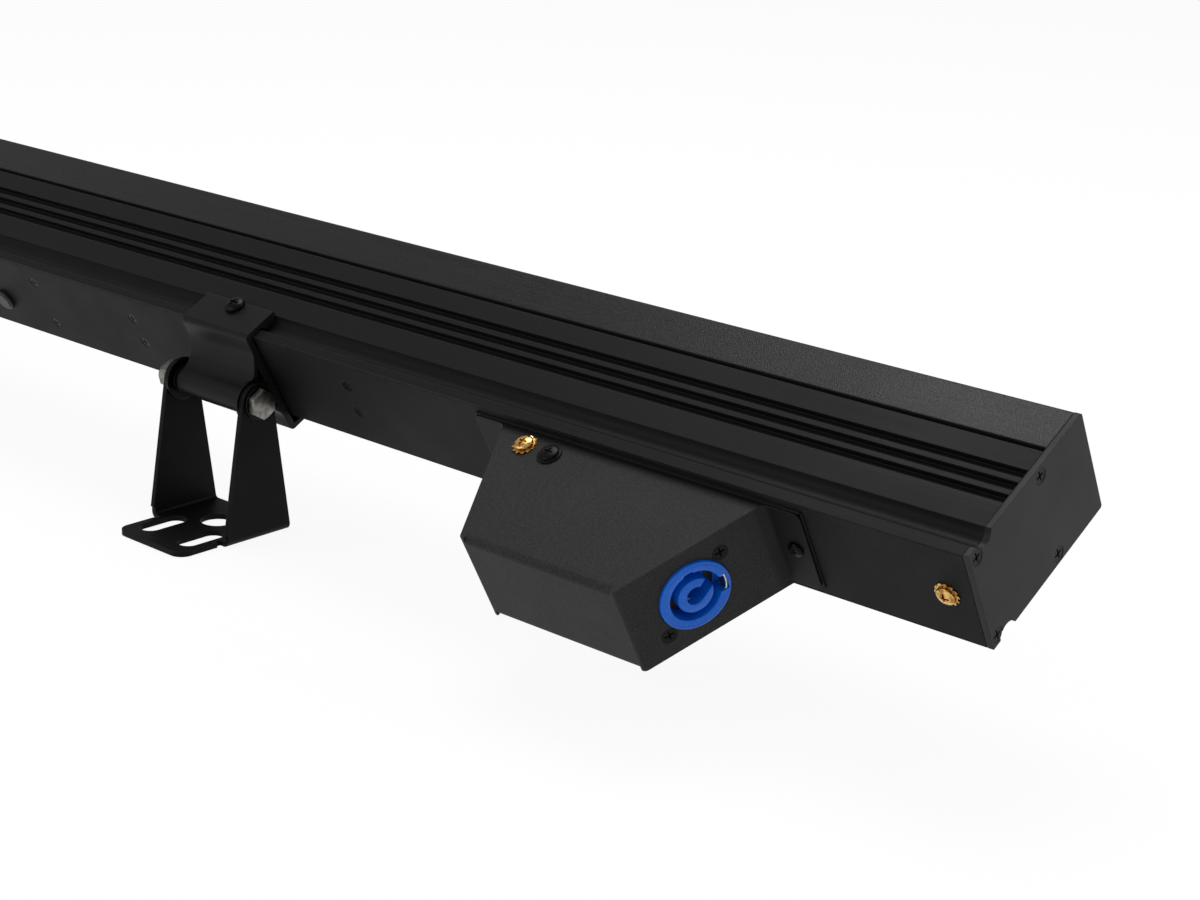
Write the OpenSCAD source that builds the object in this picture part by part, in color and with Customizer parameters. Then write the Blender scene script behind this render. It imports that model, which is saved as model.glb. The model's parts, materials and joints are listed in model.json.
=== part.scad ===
// LED pixel bar: a finned aluminium bar with two connector boxes on its back, held by two
// sliding clamps with tilting feet. Sizes are in millimetres.
// X runs along the bar, Z is up and the light leaves on the +Y side, tilted upwards.
// The origin lies on the mounting surface, below the tilt axis, midway along the bar.

/* [Bar] */

// length over both end plates
bar_length = 1000; // [900:10:1300]
// width across the two finned sides
bar_width = 38.5; // [37:0.5:44]
// depth of the finned part of the profile, up to the shadow groove
body_depth = 45; // [42:0.5:52]
// depth of the light side in front of the finned part
front_depth = 18.6; // [17:0.2:25]
// height of the open shadow groove between profile and front rails
shadow_groove = 1.8; // [1:0.1:2.4]
// plain wall of the profile
wall = 2.2; // [1.8:0.1:2.4]
// cross wall that carries the light board
web = 3; // [2:0.1:3.4]

/* [Clamp channel and fins] */

// distance of the channel's centre from the rear face
channel_behind = 8; // [7.6:0.1:8.6]
// radius of the channel's round bottom
channel_radius = 4.5; // [4:0.1:4.8]
// depth of the channel below the side face
channel_depth = 2.9; // [2.4:0.1:3.1]
// distance of the rearmost fin groove behind the shadow groove
fins_back = 22.7; // [22.4:0.1:23]
// width of one fin groove
fin_groove = 3.6; // [3:0.1:3.7]
// pitch of the fin grooves
fin_pitch = 5.4; // [5.2:0.1:5.5]
// depth of the fin grooves
fin_depth = 2.2; // [1.6:0.1:2.4]

/* [Rear cover and boards] */

// thickness of the rear cover sheet
cover_sheet = 1.2; // [1:0.1:1.3]
// dark gap beside the rear cover
cover_gap = 0.3; // [0.1:0.05:0.5]
// distances of the board screw pairs from the middle of the bar
board_screw_x = [57, 118, 239];
// places of the first board screw pair across the bar
end_pair_w = [10.5, -10.5];
// places of the other board screw pairs across the bar
inner_pair_w = [7.5, -4.5];
// place of the vent plug along the bar
vent_x = 27.5; // [26:0.5:30]
// place of the vent plug across the bar
vent_w = -5; // [-8:0.5:0]
// diameter of the vent plug's cap
vent_diameter = 9; // [8:0.5:12]

/* [End plates] */

// thickness of an end plate
plate = 2; // [1.8:0.1:3]
// thickness of the sealing gasket under an end plate
end_gasket = 0.3; // [0.2:0.1:0.8]
// distance of the rear screws from the rear face
rear_port = 3.2; // [3.1:0.05:3.3]
// distance of the front screws behind the shadow groove
front_port_back = 6.5; // [6.3:0.05:6.6]
// distance of the end plate screws from the side face
port_inset = 3.3; // [3.2:0.05:3.4]

/* [Light side] */

// thickness of the front glass
glass = 4; // [3:0.1:4.2]
// thickness of the seal behind the glass
glass_seal = 0.6; // [0.4:0.1:0.8]
// depth of the rail lip that holds the glass
rail_lip = 1.8; // [1.2:0.1:2.2]
// depth of the open recess in front of the lip
front_recess = 2.2; // [1.6:0.1:2.6]
// number of pixels
pixels = 32; // [24:1:32]
// distance of the first pixel's cell from the end of the bar
pixel_margin = 20; // [15:1:30]
// lens diameter
lens_diameter = 20; // [16:0.5:21]

/* [Connector boxes] */

// distance of a box's middle from the end of the bar
box_inset = 126.5; // [120:0.5:135]
// length of a box along the rear cover
box_base = 108.4; // [106:0.2:114]
// length of a box's outer face
box_top = 64; // [60:0.2:68]
// height of a box above the rear cover
box_height = 49.4; // [48:0.2:52]
// width of a box
box_width = 35; // [34:0.2:36]
// shift of a box across the bar
box_shift = -1.6; // [-2:0.1:0]
// thickness of the box sheet
box_sheet = 1.5; // [1.4:0.1:1.6]
// length of a screwed flange
flange_length = 12.7; // [11:0.1:14]
// width of a screwed flange
flange_width = 31.8; // [28:0.2:32]
// distance of the flange screw from the foot of the slanted panel
flange_screw = 7.5; // [7:0.1:9]
// distance of the connector's centre up the slanted panel
connector_up = 31; // [29:0.1:32]
// place of a panel connector's first screw, along and across the panel; the second is opposite
connector_screw = [12, 9.5];

/* [Clamps] */

// distance of a clamp's middle from the middle of the bar
clamp_x = 177.5; // [170:0.5:200]
// length of a clamp along the bar
clamp_length = 36; // [34:0.5:40]
// space between rear cover and clamp
clamp_gap = 0.9; // [0.6:0.1:1.2]
// thickness of the clamp's back
clamp_back = 2.5; // [2.2:0.1:3.2]
// thickness of the clamp's two flanges
clamp_flange = 1.9; // [1.6:0.1:2.1]
// extra room between the lower flange and the bar
clamp_slack = 2.9; // [2.4:0.1:3.1]
// reach of the flanges beyond the rear face
clamp_reach = 12.3; // [12.1:0.1:13]
// distance of the tapered skin in front of the tilt axis
clamp_fall = 1; // [0.6:0.1:1.4]
// distance of the clamp screw from the rear face
clamp_screw_behind = 9.2; // [9:0.1:9.3]

/* [Tilt joint and feet] */

// distance of the tilt axis behind the rear face
pivot_behind = 12.4; // [12.3:0.1:13]
// height of the tilt axis above the mounting surface
pivot_height = 53; // [50:0.5:60]
// angle of the bar in the stored pose
tilt = 29; // [15:1:40]
// outer radius of the clamp's barrel
barrel_radius = 5.6; // [5.4:0.1:6]
// radius of a leg's round top
leg_radius = 7.2; // [6.8:0.1:8]
// radius of the tilt bolt
bolt_radius = 3; // [2.9:0.05:3]
// sheet thickness of a foot
foot_sheet = 2; // [1.6:0.1:2.5]
// thickness of the washer between the clamp and a foot's outer leg
thin_washer = 0.8; // [0.6:0.1:1.5]
// length of the flanged bush between the clamp and a foot's inner leg
bush = 3.2; // [2.4:0.1:4]
// half width of a leg where it meets the base
leg_foot = 15.6; // [14:0.1:16.8]
// reach of the base in front of the tilt axis
foot_reach = 33.9; // [32:0.1:40]
// half width of the base tongue
tongue_half = 18.5; // [17.5:0.1:18.8]
// width of the slots in the base
slot_width = 8.5; // [6.5:0.1:9]
// length of the slots in the base
slot_length = 20; // [18:0.1:21]
// half distance between the two slots
slot_apart = 10.9; // [10.6:0.1:11]
// distance of the slots' middle in front of the tilt axis
slot_forward = 18; // [17.6:0.1:19]
// radius of the round hole in the base
foot_hole = 6.5; // [5:0.1:6.6]

/* [Clearances] */

// space between parts that slide or turn on each other
slide_clearance = 0.3; // [0.2:0.05:0.4]
// radial running clearance of the tilt bolt in the barrel
bore_clearance = 0.075; // [0.05:0.005:0.1]
// radial clearance of a fixed screw in its hole
screw_clearance = 0.05; // [0.02:0.01:0.1]

/* [Hidden] */

$fn = 64;
half_width = bar_width / 2;
bar_depth = body_depth + front_depth;
cap_depth = plate + end_gasket;
profile_length = bar_length - 2 * cap_depth;
channel_w = half_width + channel_radius - channel_depth;
fins_start = body_depth - fins_back;
front_port = body_depth - front_port_back;
port_w = half_width - port_inset;
self_tap_radius = 1.5;
port_radius = self_tap_radius + screw_clearance;
spigot_half = half_width - 1.85;
light_half = spigot_half - wall;
web_front = body_depth - 1;
web_rear = web_front - web;
glass_front = bar_depth - front_recess - rail_lip;
spigot_end = glass_front - glass - glass_seal;
rail_inner = spigot_half + 0.15;
strap_top = rear_port + 2.2;
board_sheet = 1.6;
board_rear = strap_top + 1.8;
board_half = half_width - 5.75;
board_margin = 8;
pixel_pitch = (bar_length - 2 * pixel_margin) / pixels;
vent_spigot = 3;
box_x = bar_length / 2 - box_inset;
box_slope = (box_base - box_top) / 2;
slant_angle = atan2(box_height, box_slope);
strap_x = [box_x - box_base / 2 - flange_screw, box_x + box_base / 2 + flange_screw];
ground_x = bar_length / 2 - 11.5;
grommet_radius = 8;
connector_hole = 12.3;
clamp_top = half_width + slide_clearance + clamp_flange;
pivot_w = -clamp_slack / 2;
clamp_outer = clamp_gap + clamp_back;
bead_shift = [0.4, -0.85];
bead_radius = channel_radius - slide_clearance - norm(bead_shift);
bead_behind = channel_behind + bead_shift[0];
bead_w = channel_w + bead_shift[1];
leg_inner = (clamp_length + thin_washer + bush) / 2 + slide_clearance;
leg_outer = leg_inner + foot_sheet;
foot_x = clamp_x - (bush - thin_washer) / 2;
washer_sheet = 1;
washer_radius = 6.2;
inner_washer_radius = 8.1;
nut_height = 6;
bolt_head = 3;
key_width = 10;
core_opening = 35;
core_hole = [-0.2, -0.9];
bend_radius = 10;
flange_bend = 3;
flange_head = [2.7, 1.6];
cheek_head = [3.4, 1.3];
ground_head = [3.3, 1.8];

// Shared helpers

// unit vector of a
function unit(a) = a / norm(a);

// the two points where the arc of radius r touches the sides of the corner at p
function touch(p, before, after, r) =
  let (a = unit(before - p), b = unit(after - p), t = r / tan(acos(a * b) / 2))
  [p + a * t, p + b * t];

// the arc's centre at the same corner
function arc_centre(p, before, after, r) =
  let (a = unit(before - p), b = unit(after - p))
  p + unit(a + b) * r / sin(acos(a * b) / 2);

// a flat outline with anticlockwise points whose corners are rounded by true arcs
module rounded_outline(points, radii) {
  n = len(points);
  before = [for (i = [0:n - 1]) points[(i + n - 1) % n]];
  after = [for (i = [0:n - 1]) points[(i + 1) % n]];
  cuts = [for (i = [0:n - 1])
    radii[i] > 0 ? touch(points[i], before[i], after[i], radii[i]) : [points[i]]];
  turn = [for (i = [0:n - 1]) cross(points[i] - before[i], after[i] - points[i])];
  difference() {
    union() {
      polygon([for (c = cuts) each c]);
      for (i = [0:n - 1]) {
        if (radii[i] > 0 && turn[i] > 0) {
          corner_fill(points[i], before[i], after[i], radii[i]);
        }
      }
    }
    for (i = [0:n - 1]) {
      if (radii[i] > 0 && turn[i] < 0) {
        corner_fill(points[i], before[i], after[i], radii[i]);
      }
    }
  }
}

// the part of the arc's circle that lies in the corner
module corner_fill(p, before, after, r) {
  ends = touch(p, before, after, r);
  intersection() {
    polygon([ends[0], p, ends[1]]);
    translate(arc_centre(p, before, after, r)) circle(r);
  }
}

// places children drawn in the bar's own frame: y from the rear face to the light side,
// z across the bar
module in_bar() {
  translate([0, 0, pivot_height])
    rotate([tilt, 0, 0])
      translate([0, pivot_behind, -pivot_w])
        children();
}

// extrudes a flat outline drawn in the bar's depth and width, centred along the bar
module along_bar(length) {
  rotate([90, 0, 90]) linear_extrude(height = length, center = true) children();
}

// extrudes a flat outline drawn in length and depth, centred across the bar
module across_bar(width) {
  linear_extrude(height = width, center = true) children();
}

// a slab of the bar's depth range y0 to y1 with a flat outline in length and width
module slab(y0, y1) {
  translate([0, y1, 0]) rotate([90, 0, 0]) linear_extrude(height = y1 - y0) children();
}

// a cylinder along the bar's depth from y0 to y1
module depth_rod(r, y0, y1) {
  translate([0, y1, 0]) rotate([90, 0, 0]) cylinder(r = r, h = y1 - y0);
}

// repeats children at the right and, mirrored, at the left
module both_ends() {
  children();
  mirror([1, 0, 0]) children();
}

// repeats a flat outline on the upper and, mirrored, on the lower side of the bar
module both_sides_flat() {
  children();
  mirror([0, 1]) children();
}

// cross recess of a screw head whose face lies at z = 0
module cross_recess(size, depth) {
  translate([-size / 2, -size / 8, -depth]) cube([size, size / 4, depth + 1]);
  translate([-size / 8, -size / 2, -depth]) cube([size / 4, size, depth + 1]);
}

// countersunk screw, head face at z = 0, shank towards -z
module countersunk_screw(shank, head, length) {
  difference() {
    union() {
      translate([0, 0, shank - head]) cylinder(r1 = shank, r2 = head, h = head - shank);
      translate([0, 0, -length]) cylinder(r = shank, h = length + shank - head);
    }
    cross_recess(head * 1.1, head * 0.3);
  }
}

// clearance for the same screw in a sheet
module countersink(shank, head, through) {
  c = screw_clearance;
  translate([0, 0, shank - head])
    cylinder(r1 = shank + c, r2 = head + c + 0.5, h = head - shank + 0.5);
  translate([0, 0, -through]) cylinder(r = shank + c, h = through + shank - head + 0.01);
}

// pan head screw, seat at z = 0, shank towards -z
module pan_screw(shank, head, height, length) {
  difference() {
    union() {
      cylinder(r = head, h = height * 0.55);
      translate([0, 0, height * 0.55]) cylinder(r1 = head, r2 = head * 0.62, h = height * 0.45);
      translate([0, 0, -length]) cylinder(r = shank, h = length);
    }
    translate([0, 0, height]) cross_recess(head * 1.1, height * 0.5);
  }
}

// toothed washer on the plane z = 0
module star_washer(outer, inner, sheet) {
  difference() {
    cylinder(r = outer, h = sheet);
    translate([0, 0, -1]) cylinder(r = inner, h = sheet + 2);
    for (i = [0:11]) {
      rotate([0, 0, i * 30]) translate([outer - 0.6, -0.35, -1]) cube([2, 0.7, sheet + 2]);
    }
  }
}

// turns a screw drawn along z so that its head looks out of the rear face
module rear_facing() {
  rotate([90, 0, 0]) children();
}

// The bar's profile

// hollow of the profile behind the cross wall, upper half
module cavity_half() {
  narrow = half_width - 6.05;
  behind_channel = channel_w - channel_radius - 1.95;
  behind_fins = half_width - fin_depth - 2.05;
  polygon([
    [cover_sheet - 0.5, 0],
    [cover_sheet - 0.5, narrow],
    [strap_top, narrow],
    [strap_top, behind_channel],
    [channel_behind + 5, behind_channel],
    [channel_behind + 5, half_width - wall],
    [fins_start - 2, half_width - wall],
    [fins_start - 2, behind_fins],
    [front_port - 2.5, behind_fins],
    [front_port - 2.5, narrow],
    [web_rear, narrow],
    [web_rear, 0]
  ]);
}

module profile_outline() {
  seat_half = half_width - 0.75 + cover_gap;
  difference() {
    union() {
      translate([0, -half_width]) square([body_depth, bar_width]);
      translate([body_depth - 1, -spigot_half])
        square([spigot_end - body_depth + 1, 2 * spigot_half]);
    }
    translate([-1, -seat_half]) square([cover_sheet + 1, 2 * seat_half]);
    translate([web_front, -light_half]) square([spigot_end, 2 * light_half]);
    both_sides_flat() {
      cavity_half();
      translate([channel_behind, channel_w]) circle(channel_radius);
      for (i = [0:2]) {
        translate([fins_start + i * fin_pitch, half_width - fin_depth])
          square([fin_groove, fin_depth + 1]);
      }
      translate([rear_port, port_w]) circle(port_radius);
      translate([front_port, port_w]) circle(port_radius);
      translate([body_depth + 4, spigot_half - 0.6]) square([1.6, 2]);
    }
  }
}

module profile() {
  color("#33363a") in_bar() along_bar(profile_length) profile_outline();
}

// Rear cover

// places of all board screws along and across the bar
board_screws = [for (s = [1, -1], i = [0:2], k = [0:1])
  [s * board_screw_x[i], i == 0 ? end_pair_w[k] : inner_pair_w[k]]];

// places of the tapped straps below the cover
straps = [for (s = [1, -1], x = strap_x) s * x];

module rear_cover() {
  sheet_half = half_width - 0.75;
  color("#2c2e31") in_bar() difference() {
    slab(0, cover_sheet) square([profile_length - 0.2, 2 * sheet_half], center = true);
    for (p = board_screws) {
      translate([p[0], 0, p[1]]) rear_facing() countersink(1.25, 2.3, 5);
    }
    for (x = straps) {
      translate([x, 0, 0]) depth_rod(self_tap_radius + 0.2, -1, 5);
    }
    translate([ground_x, 0, 0]) depth_rod(2.2, -1, 5);
    translate([vent_x, 0, vent_w]) depth_rod(vent_spigot, -1, 5);
    both_ends() translate([box_x, 0, box_shift]) depth_rod(grommet_radius, -1, 5);
  }
}

// tapped bars that pull the cover down onto the profile
module cover_straps() {
  strap_half = channel_w - channel_radius - 2.15;
  color("#9a9da0") in_bar() for (x = concat(straps, [ground_x])) {
    hole = (x == ground_x ? 2 : self_tap_radius) + screw_clearance;
    translate([x, 0, 0]) difference() {
      slab(strap_top, strap_top + 2) square([11, 2 * strap_half], center = true);
      depth_rod(hole, 0, 20);
    }
  }
}

module board_screws_flush() {
  color("#1d1e20") in_bar() for (p = board_screws) {
    translate([p[0], 0, p[1]]) rear_facing() countersunk_screw(1.25, 2.3, 6);
  }
}

// round spacers between cover and driver boards
module board_spacers() {
  color("#b5b7b9") in_bar() for (p = board_screws) {
    translate([p[0], 0, p[1]]) difference() {
      depth_rod(2.4, cover_sheet, board_rear);
      depth_rod(1.25 + screw_clearance, 0, 20);
    }
  }
}

// middle and length of the right driver board
board_mid = (board_screw_x[0] + board_screw_x[2]) / 2;
board_length = board_screw_x[2] - board_screw_x[0] + 2 * board_margin;

module driver_boards() {
  color("#2f6b3a") in_bar() both_ends() difference() {
    translate([board_mid, 0, 0]) slab(board_rear, board_rear + board_sheet)
      square([board_length, 2 * board_half], center = true);
    for (p = board_screws) {
      translate([p[0], 0, p[1]]) depth_rod(1.5, 0, 20);
    }
  }
}

// transformer, choke and capacitors of the two drivers
module driver_parts() {
  top = board_rear + board_sheet;
  room = web_rear - top;
  color("#3d3f42") in_bar() both_ends() translate([board_mid, top, 0]) {
    translate([-0.29 * board_length, room / 4, 0])
      cube([0.13 * board_length, room / 2, 1.6 * board_half], center = true);
    translate([0.06 * board_length, room * 0.28, 0])
      cube([0.15 * board_length, room * 0.56, 1.75 * board_half], center = true);
    translate([0.29 * board_length, 0, board_half * 0.37])
      depth_rod(board_half * 0.36, 0, room * 0.55);
    translate([0.36 * board_length, 0, -board_half * 0.37])
      depth_rod(board_half * 0.36, 0, room * 0.55);
    translate([-0.08 * board_length, 0, 0]) depth_rod(board_half * 0.4, 0, room * 0.45);
  }
}

module vent_plug() {
  cap = vent_diameter / 2;
  color("#18191a") in_bar() translate([vent_x, 0, vent_w]) {
    rear_facing() {
      cylinder(r = cap, h = 1.4);
      translate([0, 0, 1.4]) cylinder(r1 = cap, r2 = cap - 0.9, h = 0.9);
    }
    depth_rod(vent_spigot - screw_clearance, 0, 5);
  }
}

// End plates

module end_outline(inset) {
  r = 0.9 - inset;
  w = half_width - inset;
  difference() {
    rounded_outline(
      [[inset, -w], [bar_depth - inset, -w], [bar_depth - inset, w], [inset, w]],
      [0, r, r, 0]);
    both_sides_flat() translate([channel_behind, channel_w]) circle(channel_radius + inset);
  }
}

// repeats children at the four screws of an end plate
module at_ports() {
  for (y = [rear_port, front_port], s = [-1, 1]) {
    translate([0, y, s * port_w]) children();
  }
}

module end_plate() {
  difference() {
    translate([bar_length / 2 - plate / 2, 0, 0]) along_bar(plate) end_outline(0);
    translate([bar_length / 2, 0, 0])
      at_ports() rotate([0, 90, 0]) countersink(self_tap_radius, 2.8, 5);
  }
}

module end_plate_right() {
  color("#2b2d30") in_bar() end_plate();
}

module end_plate_left() {
  color("#2b2d30") in_bar() mirror([1, 0, 0]) end_plate();
}

module end_gaskets() {
  color("#111213") in_bar() both_ends() difference() {
    translate([bar_length / 2 - plate - end_gasket / 2, 0, 0])
      along_bar(end_gasket) end_outline(0.1);
    translate([bar_length / 2, 0, 0])
      at_ports() rotate([0, 90, 0]) translate([0, 0, -5]) cylinder(r = port_radius, h = 5);
  }
}

module end_plate_screws() {
  color("#1d1e20") in_bar() both_ends()
    translate([bar_length / 2, 0, 0])
      at_ports() rotate([0, 90, 0]) countersunk_screw(self_tap_radius, 2.8, 12);
}

// Light side

// extruded rail along one edge of the glass: outer wall, lip over the glass, snap bead
module rail_outline() {
  rail_rear = body_depth + shadow_groove;
  lip_inner = light_half - 0.7;
  rounded_outline([
    [rail_rear, rail_inner],
    [body_depth + 4.2, rail_inner],
    [body_depth + 4.2, rail_inner - 0.65],
    [body_depth + 5.4, rail_inner - 0.65],
    [body_depth + 5.4, rail_inner],
    [glass_front, rail_inner],
    [glass_front, lip_inner],
    [glass_front + rail_lip, lip_inner],
    [glass_front + rail_lip, rail_inner],
    [bar_depth, rail_inner],
    [bar_depth, half_width],
    [rail_rear, half_width]
  ], [0, 0, 0, 0, 0, 0, 0, 0, 0, 0, 1.2, 0.3]);
}

module front_rail_upper() {
  color("#55585c") in_bar() along_bar(profile_length) rail_outline();
}

module front_rail_lower() {
  color("#55585c") in_bar() mirror([0, 0, 1]) along_bar(profile_length) rail_outline();
}

module front_glass() {
  color("#c9d6da", 0.4) in_bar()
    slab(glass_front - glass, glass_front) square([profile_length, 2 * spigot_half], center = true);
}

module glass_gasket() {
  color("#1a1b1c") in_bar() slab(spigot_end, spigot_end + glass_seal) difference() {
    square([profile_length, 2 * spigot_half], center = true);
    square([profile_length - 4, 2 * light_half], center = true);
  }
}

module led_board() {
  color("#e8e8e4") in_bar()
    slab(web_front, web_front + board_sheet)
      square([profile_length - 6, 2 * light_half - 1], center = true);
}

// places of the pixels along the bar
pixel_x = [for (i = [0:pixels - 1]) (i - (pixels - 1) / 2) * pixel_pitch];

module leds() {
  rear = web_front + board_sheet;
  color("#f4e9b0") in_bar() for (x = pixel_x) {
    translate([x, rear + 0.7, 0]) cube([5, 1.4, 5], center = true);
  }
}

// row of cone lenses on a common carrier with posts on the light board
module lens_strip() {
  rear = web_front + board_sheet + 1.8;
  front = spigot_end - 0.2;
  color("#e9f0f2") in_bar() {
    slab(front - 1.2, front) square([profile_length - 8, 12], center = true);
    for (x = pixel_x) {
      translate([x, rear, 0])
        rotate([-90, 0, 0]) cylinder(r1 = 4, r2 = lens_diameter / 2, h = front - rear);
    }
    for (i = [0:4:pixels - 2]) {
      translate([pixel_x[i] + pixel_pitch / 2, 0, 0])
        depth_rod(1.5, web_front + board_sheet, front - 0.5);
    }
  }
}

// Connector boxes

// outline of a box seen from its side, inset from the outer sheet face
module box_outline(inset, r) {
  side = inset / sin(slant_angle);
  lean = (box_height - inset) / tan(slant_angle);
  foot = box_base / 2 - side;
  crown = foot - lean;
  low = inset > 0 ? 1 : 0;
  spread = low / tan(slant_angle);
  rounded_outline([
    [-foot - spread, low],
    [-crown, inset - box_height],
    [crown, inset - box_height],
    [foot + spread, low]
  ], [0, r, r, 0]);
}

// the solid wrapped by the sheet, inset from its outer face
module box_body(inset) {
  w = box_width / 2 - inset;
  low = inset > 0 ? 1 : 0;
  intersection() {
    across_bar(box_width + 2) box_outline(inset, 1.8 - inset);
    along_bar(box_base + 10) rounded_outline(
      [[inset - box_height, -w], [low, -w], [low, w], [inset - box_height, w]],
      [2.5 - inset / 2, 0, 0, 2.5 - inset / 2]);
  }
}

// places children on the slanted panel: z out of the panel, x towards the bar, y across it
module on_slant() {
  along = connector_up * cos(slant_angle);
  up = connector_up * sin(slant_angle);
  translate([box_base / 2 - along, -up, 0])
    rotate([0, 0, slant_angle]) rotate([90, 0, 0]) children();
}

// repeats children at the two screws of a panel connector
module at_connector_screws() {
  translate(connector_screw) children();
  translate(-connector_screw) children();
}

// places of the two screws on a box's upper cheek, along the box and behind the rear face
cheek_ground = [-39.2, -7.3];
cheek_black = [-27.8, -7.9];

// slanted panels, square where they meet the cheeks
module box_panels() {
  start = box_top / 2 - box_sheet / sin(slant_angle);
  intersection() {
    across_bar(box_width) difference() {
      box_outline(0, 1.8);
      box_outline(box_sheet, 1.8 - box_sheet);
    }
    both_ends() translate([start, -box_height - 1, -box_width])
      cube([box_base, box_height + 1, 2 * box_width]);
  }
}

// a screwed flange and the bend between it and its slanted panel
module box_flange() {
  end = box_base / 2 + flange_length;
  bend = [box_base / 2 - box_sheet / tan(slant_angle), -box_sheet];
  up = bend - 4 * [cos(slant_angle), sin(slant_angle)];
  in = [0.8 * box_sheet / sin(slant_angle), 0];
  intersection() {
    across_bar(flange_width) rounded_outline(
      [up, bend, [end, -box_sheet], [end, 0], [box_base / 2, 0] - in, up - in],
      [0, flange_bend, 0, 0, 0, 0]);
    slab(-10, 1) rounded_outline([
      [box_base / 2 - 10, -flange_width / 2],
      [end, -flange_width / 2],
      [end, flange_width / 2],
      [box_base / 2 - 10, flange_width / 2]
    ], [0, 2.5, 2.5, 0]);
  }
}

// one folded sheet box in its own frame, with its two flanges
module box_shell() {
  difference() {
    union() {
      difference() {
        box_body(0);
        box_body(box_sheet);
      }
      box_panels();
      both_ends() translate([0, 0, -box_shift]) box_flange();
    }
    both_ends() {
      translate([box_base / 2 + flange_screw, 0, -box_shift]) depth_rod(1.7, -5, 5);
      on_slant() {
        translate([0, 0, -6]) cylinder(r = connector_hole, h = 12);
        at_connector_screws() countersink(1.5, 2.9, 6);
      }
    }
    for (p = [cheek_ground, cheek_black]) {
      translate([p[0], p[1], box_width / 2 - 4]) cylinder(r = 2.1, h = 8);
    }
  }
}

// places children at the right or, mirrored, at the left box
module at_box(side) {
  in_bar() translate([side * box_x, 0, box_shift]) {
    if (side > 0) {
      children();
    } else {
      mirror([1, 0, 0]) children();
    }
  }
}

module box_right() {
  color("#2a2c2f") at_box(1) box_shell();
}

module box_left() {
  color("#2a2c2f") at_box(-1) box_shell();
}

module box_flange_screws() {
  color("#1d1e20") in_bar() for (x = straps) {
    translate([x, -box_sheet, 0])
      rear_facing() pan_screw(self_tap_radius, flange_head[0], flange_head[1], 9.5);
  }
}

module cheek_screws() {
  color("#1d1e20") for (side = [1, -1]) {
    at_box(side) translate([cheek_black[0], cheek_black[1], box_width / 2]) {
      difference() {
        cylinder(r = 4.2, h = 0.6);
        translate([0, 0, -1]) cylinder(r = 2, h = 3);
      }
      translate([0, 0, 0.6]) pan_screw(2, cheek_head[0], cheek_head[1], 8);
    }
  }
}

module ground_screws() {
  color("#c79a3c") {
    in_bar() translate([ground_x, -0.6, 0]) rear_facing()
      pan_screw(2, ground_head[0], ground_head[1], 8.5);
    for (side = [1, -1]) {
      at_box(side) translate([cheek_ground[0], cheek_ground[1], box_width / 2 + 0.6])
        pan_screw(2, ground_head[0], ground_head[1], 8);
    }
  }
}

module ground_washers() {
  color("#d8b45a") {
    in_bar() translate([ground_x, 0, 0]) rear_facing() star_washer(4.25, 2.1, 0.6);
    for (side = [1, -1]) {
      at_box(side) translate([cheek_ground[0], cheek_ground[1], box_width / 2])
        star_washer(4.25, 2.1, 0.6);
    }
  }
}

// rubber rings that line the cable holes below the boxes
module cable_grommets() {
  color("#141516") for (side = [1, -1]) {
    at_box(side) difference() {
      union() {
        depth_rod(grommet_radius + 1.6, -1.6, 0);
        depth_rod(grommet_radius, 0, cover_sheet);
        depth_rod(grommet_radius + 1.6, cover_sheet, cover_sheet + 1.6);
      }
      depth_rod(5, -3, 5);
    }
  }
}

// Panel connectors

// flange behind the panel and tube through it; z = 0 is the panel's outer face
module connector_shell(bore, depth, rim) {
  back = -box_sheet - 0.02;
  difference() {
    union() {
      translate([-15.5, -13, back - 2]) cube([31, 26, 2]);
      translate([0, 0, back - 2]) cylinder(r = connector_hole - 0.1, h = rim + 2 - back);
      translate([0, 0, -depth - 2]) cylinder(r = connector_hole - 1.1, h = depth);
    }
    translate([0, 0, -depth]) cylinder(r = bore, h = depth + 10);
    at_connector_screws() translate([0, 0, -20]) cylinder(r = 1.5 + screw_clearance, h = 20);
  }
}

// power socket: ring with a key slot and a latch notch, and apart from it a round core whose
// hole opens to one side
module power_socket() {
  difference() {
    connector_shell(8.75, 13, 1);
    translate([-1.5, 7, -9]) cube([3, 2.3, 20]);
    translate([7, -4, -5]) cube([3.8, 6, 20]);
  }
  difference() {
    translate([0, 0, -12.9]) cylinder(r = 6.5, h = 13.9);
    translate([core_hole[0], core_hole[1], -10]) cylinder(r = 3.25, h = 20);
    rotate([0, 0, core_opening]) translate([0, -3.35, -5]) cube([10, 4.05, 20]);
  }
}

// spring clip that lines the latch notch of a power socket
module power_latch() {
  difference() {
    translate([9.2, -3.95, -4.9]) cube([1.55, 5.9, 5.6]);
    translate([8, -3.5, -6]) cube([2.3, 5, 8]);
  }
}

// contact blade inside the core of a power socket
module power_blade() {
  difference() {
    translate([core_hole[0], core_hole[1], -9.9]) cylinder(r = 3.15, h = 7);
    translate([core_hole[0], core_hole[1], -12]) cylinder(r = 2.4, h = 20);
    rotate([0, 0, core_opening]) translate([0, -3.35, -12]) cube([10, 4.05, 20]);
  }
}

// signal socket with pins: open cup with an inner key
module pin_socket() {
  connector_shell(9.4, 12, 1);
  translate([-1, -9.6, -12]) cube([2, 1.6, 10]);
}

// the three pins of that socket
module signal_pins() {
  for (a = [30, 150, 270]) {
    rotate([0, 0, a]) translate([0, 4.6, -12]) {
      cylinder(r = 1.2, h = 8.2);
      translate([0, 0, 8.2]) cylinder(r1 = 1.2, r2 = 0.5, h = 0.7);
    }
  }
}

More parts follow.
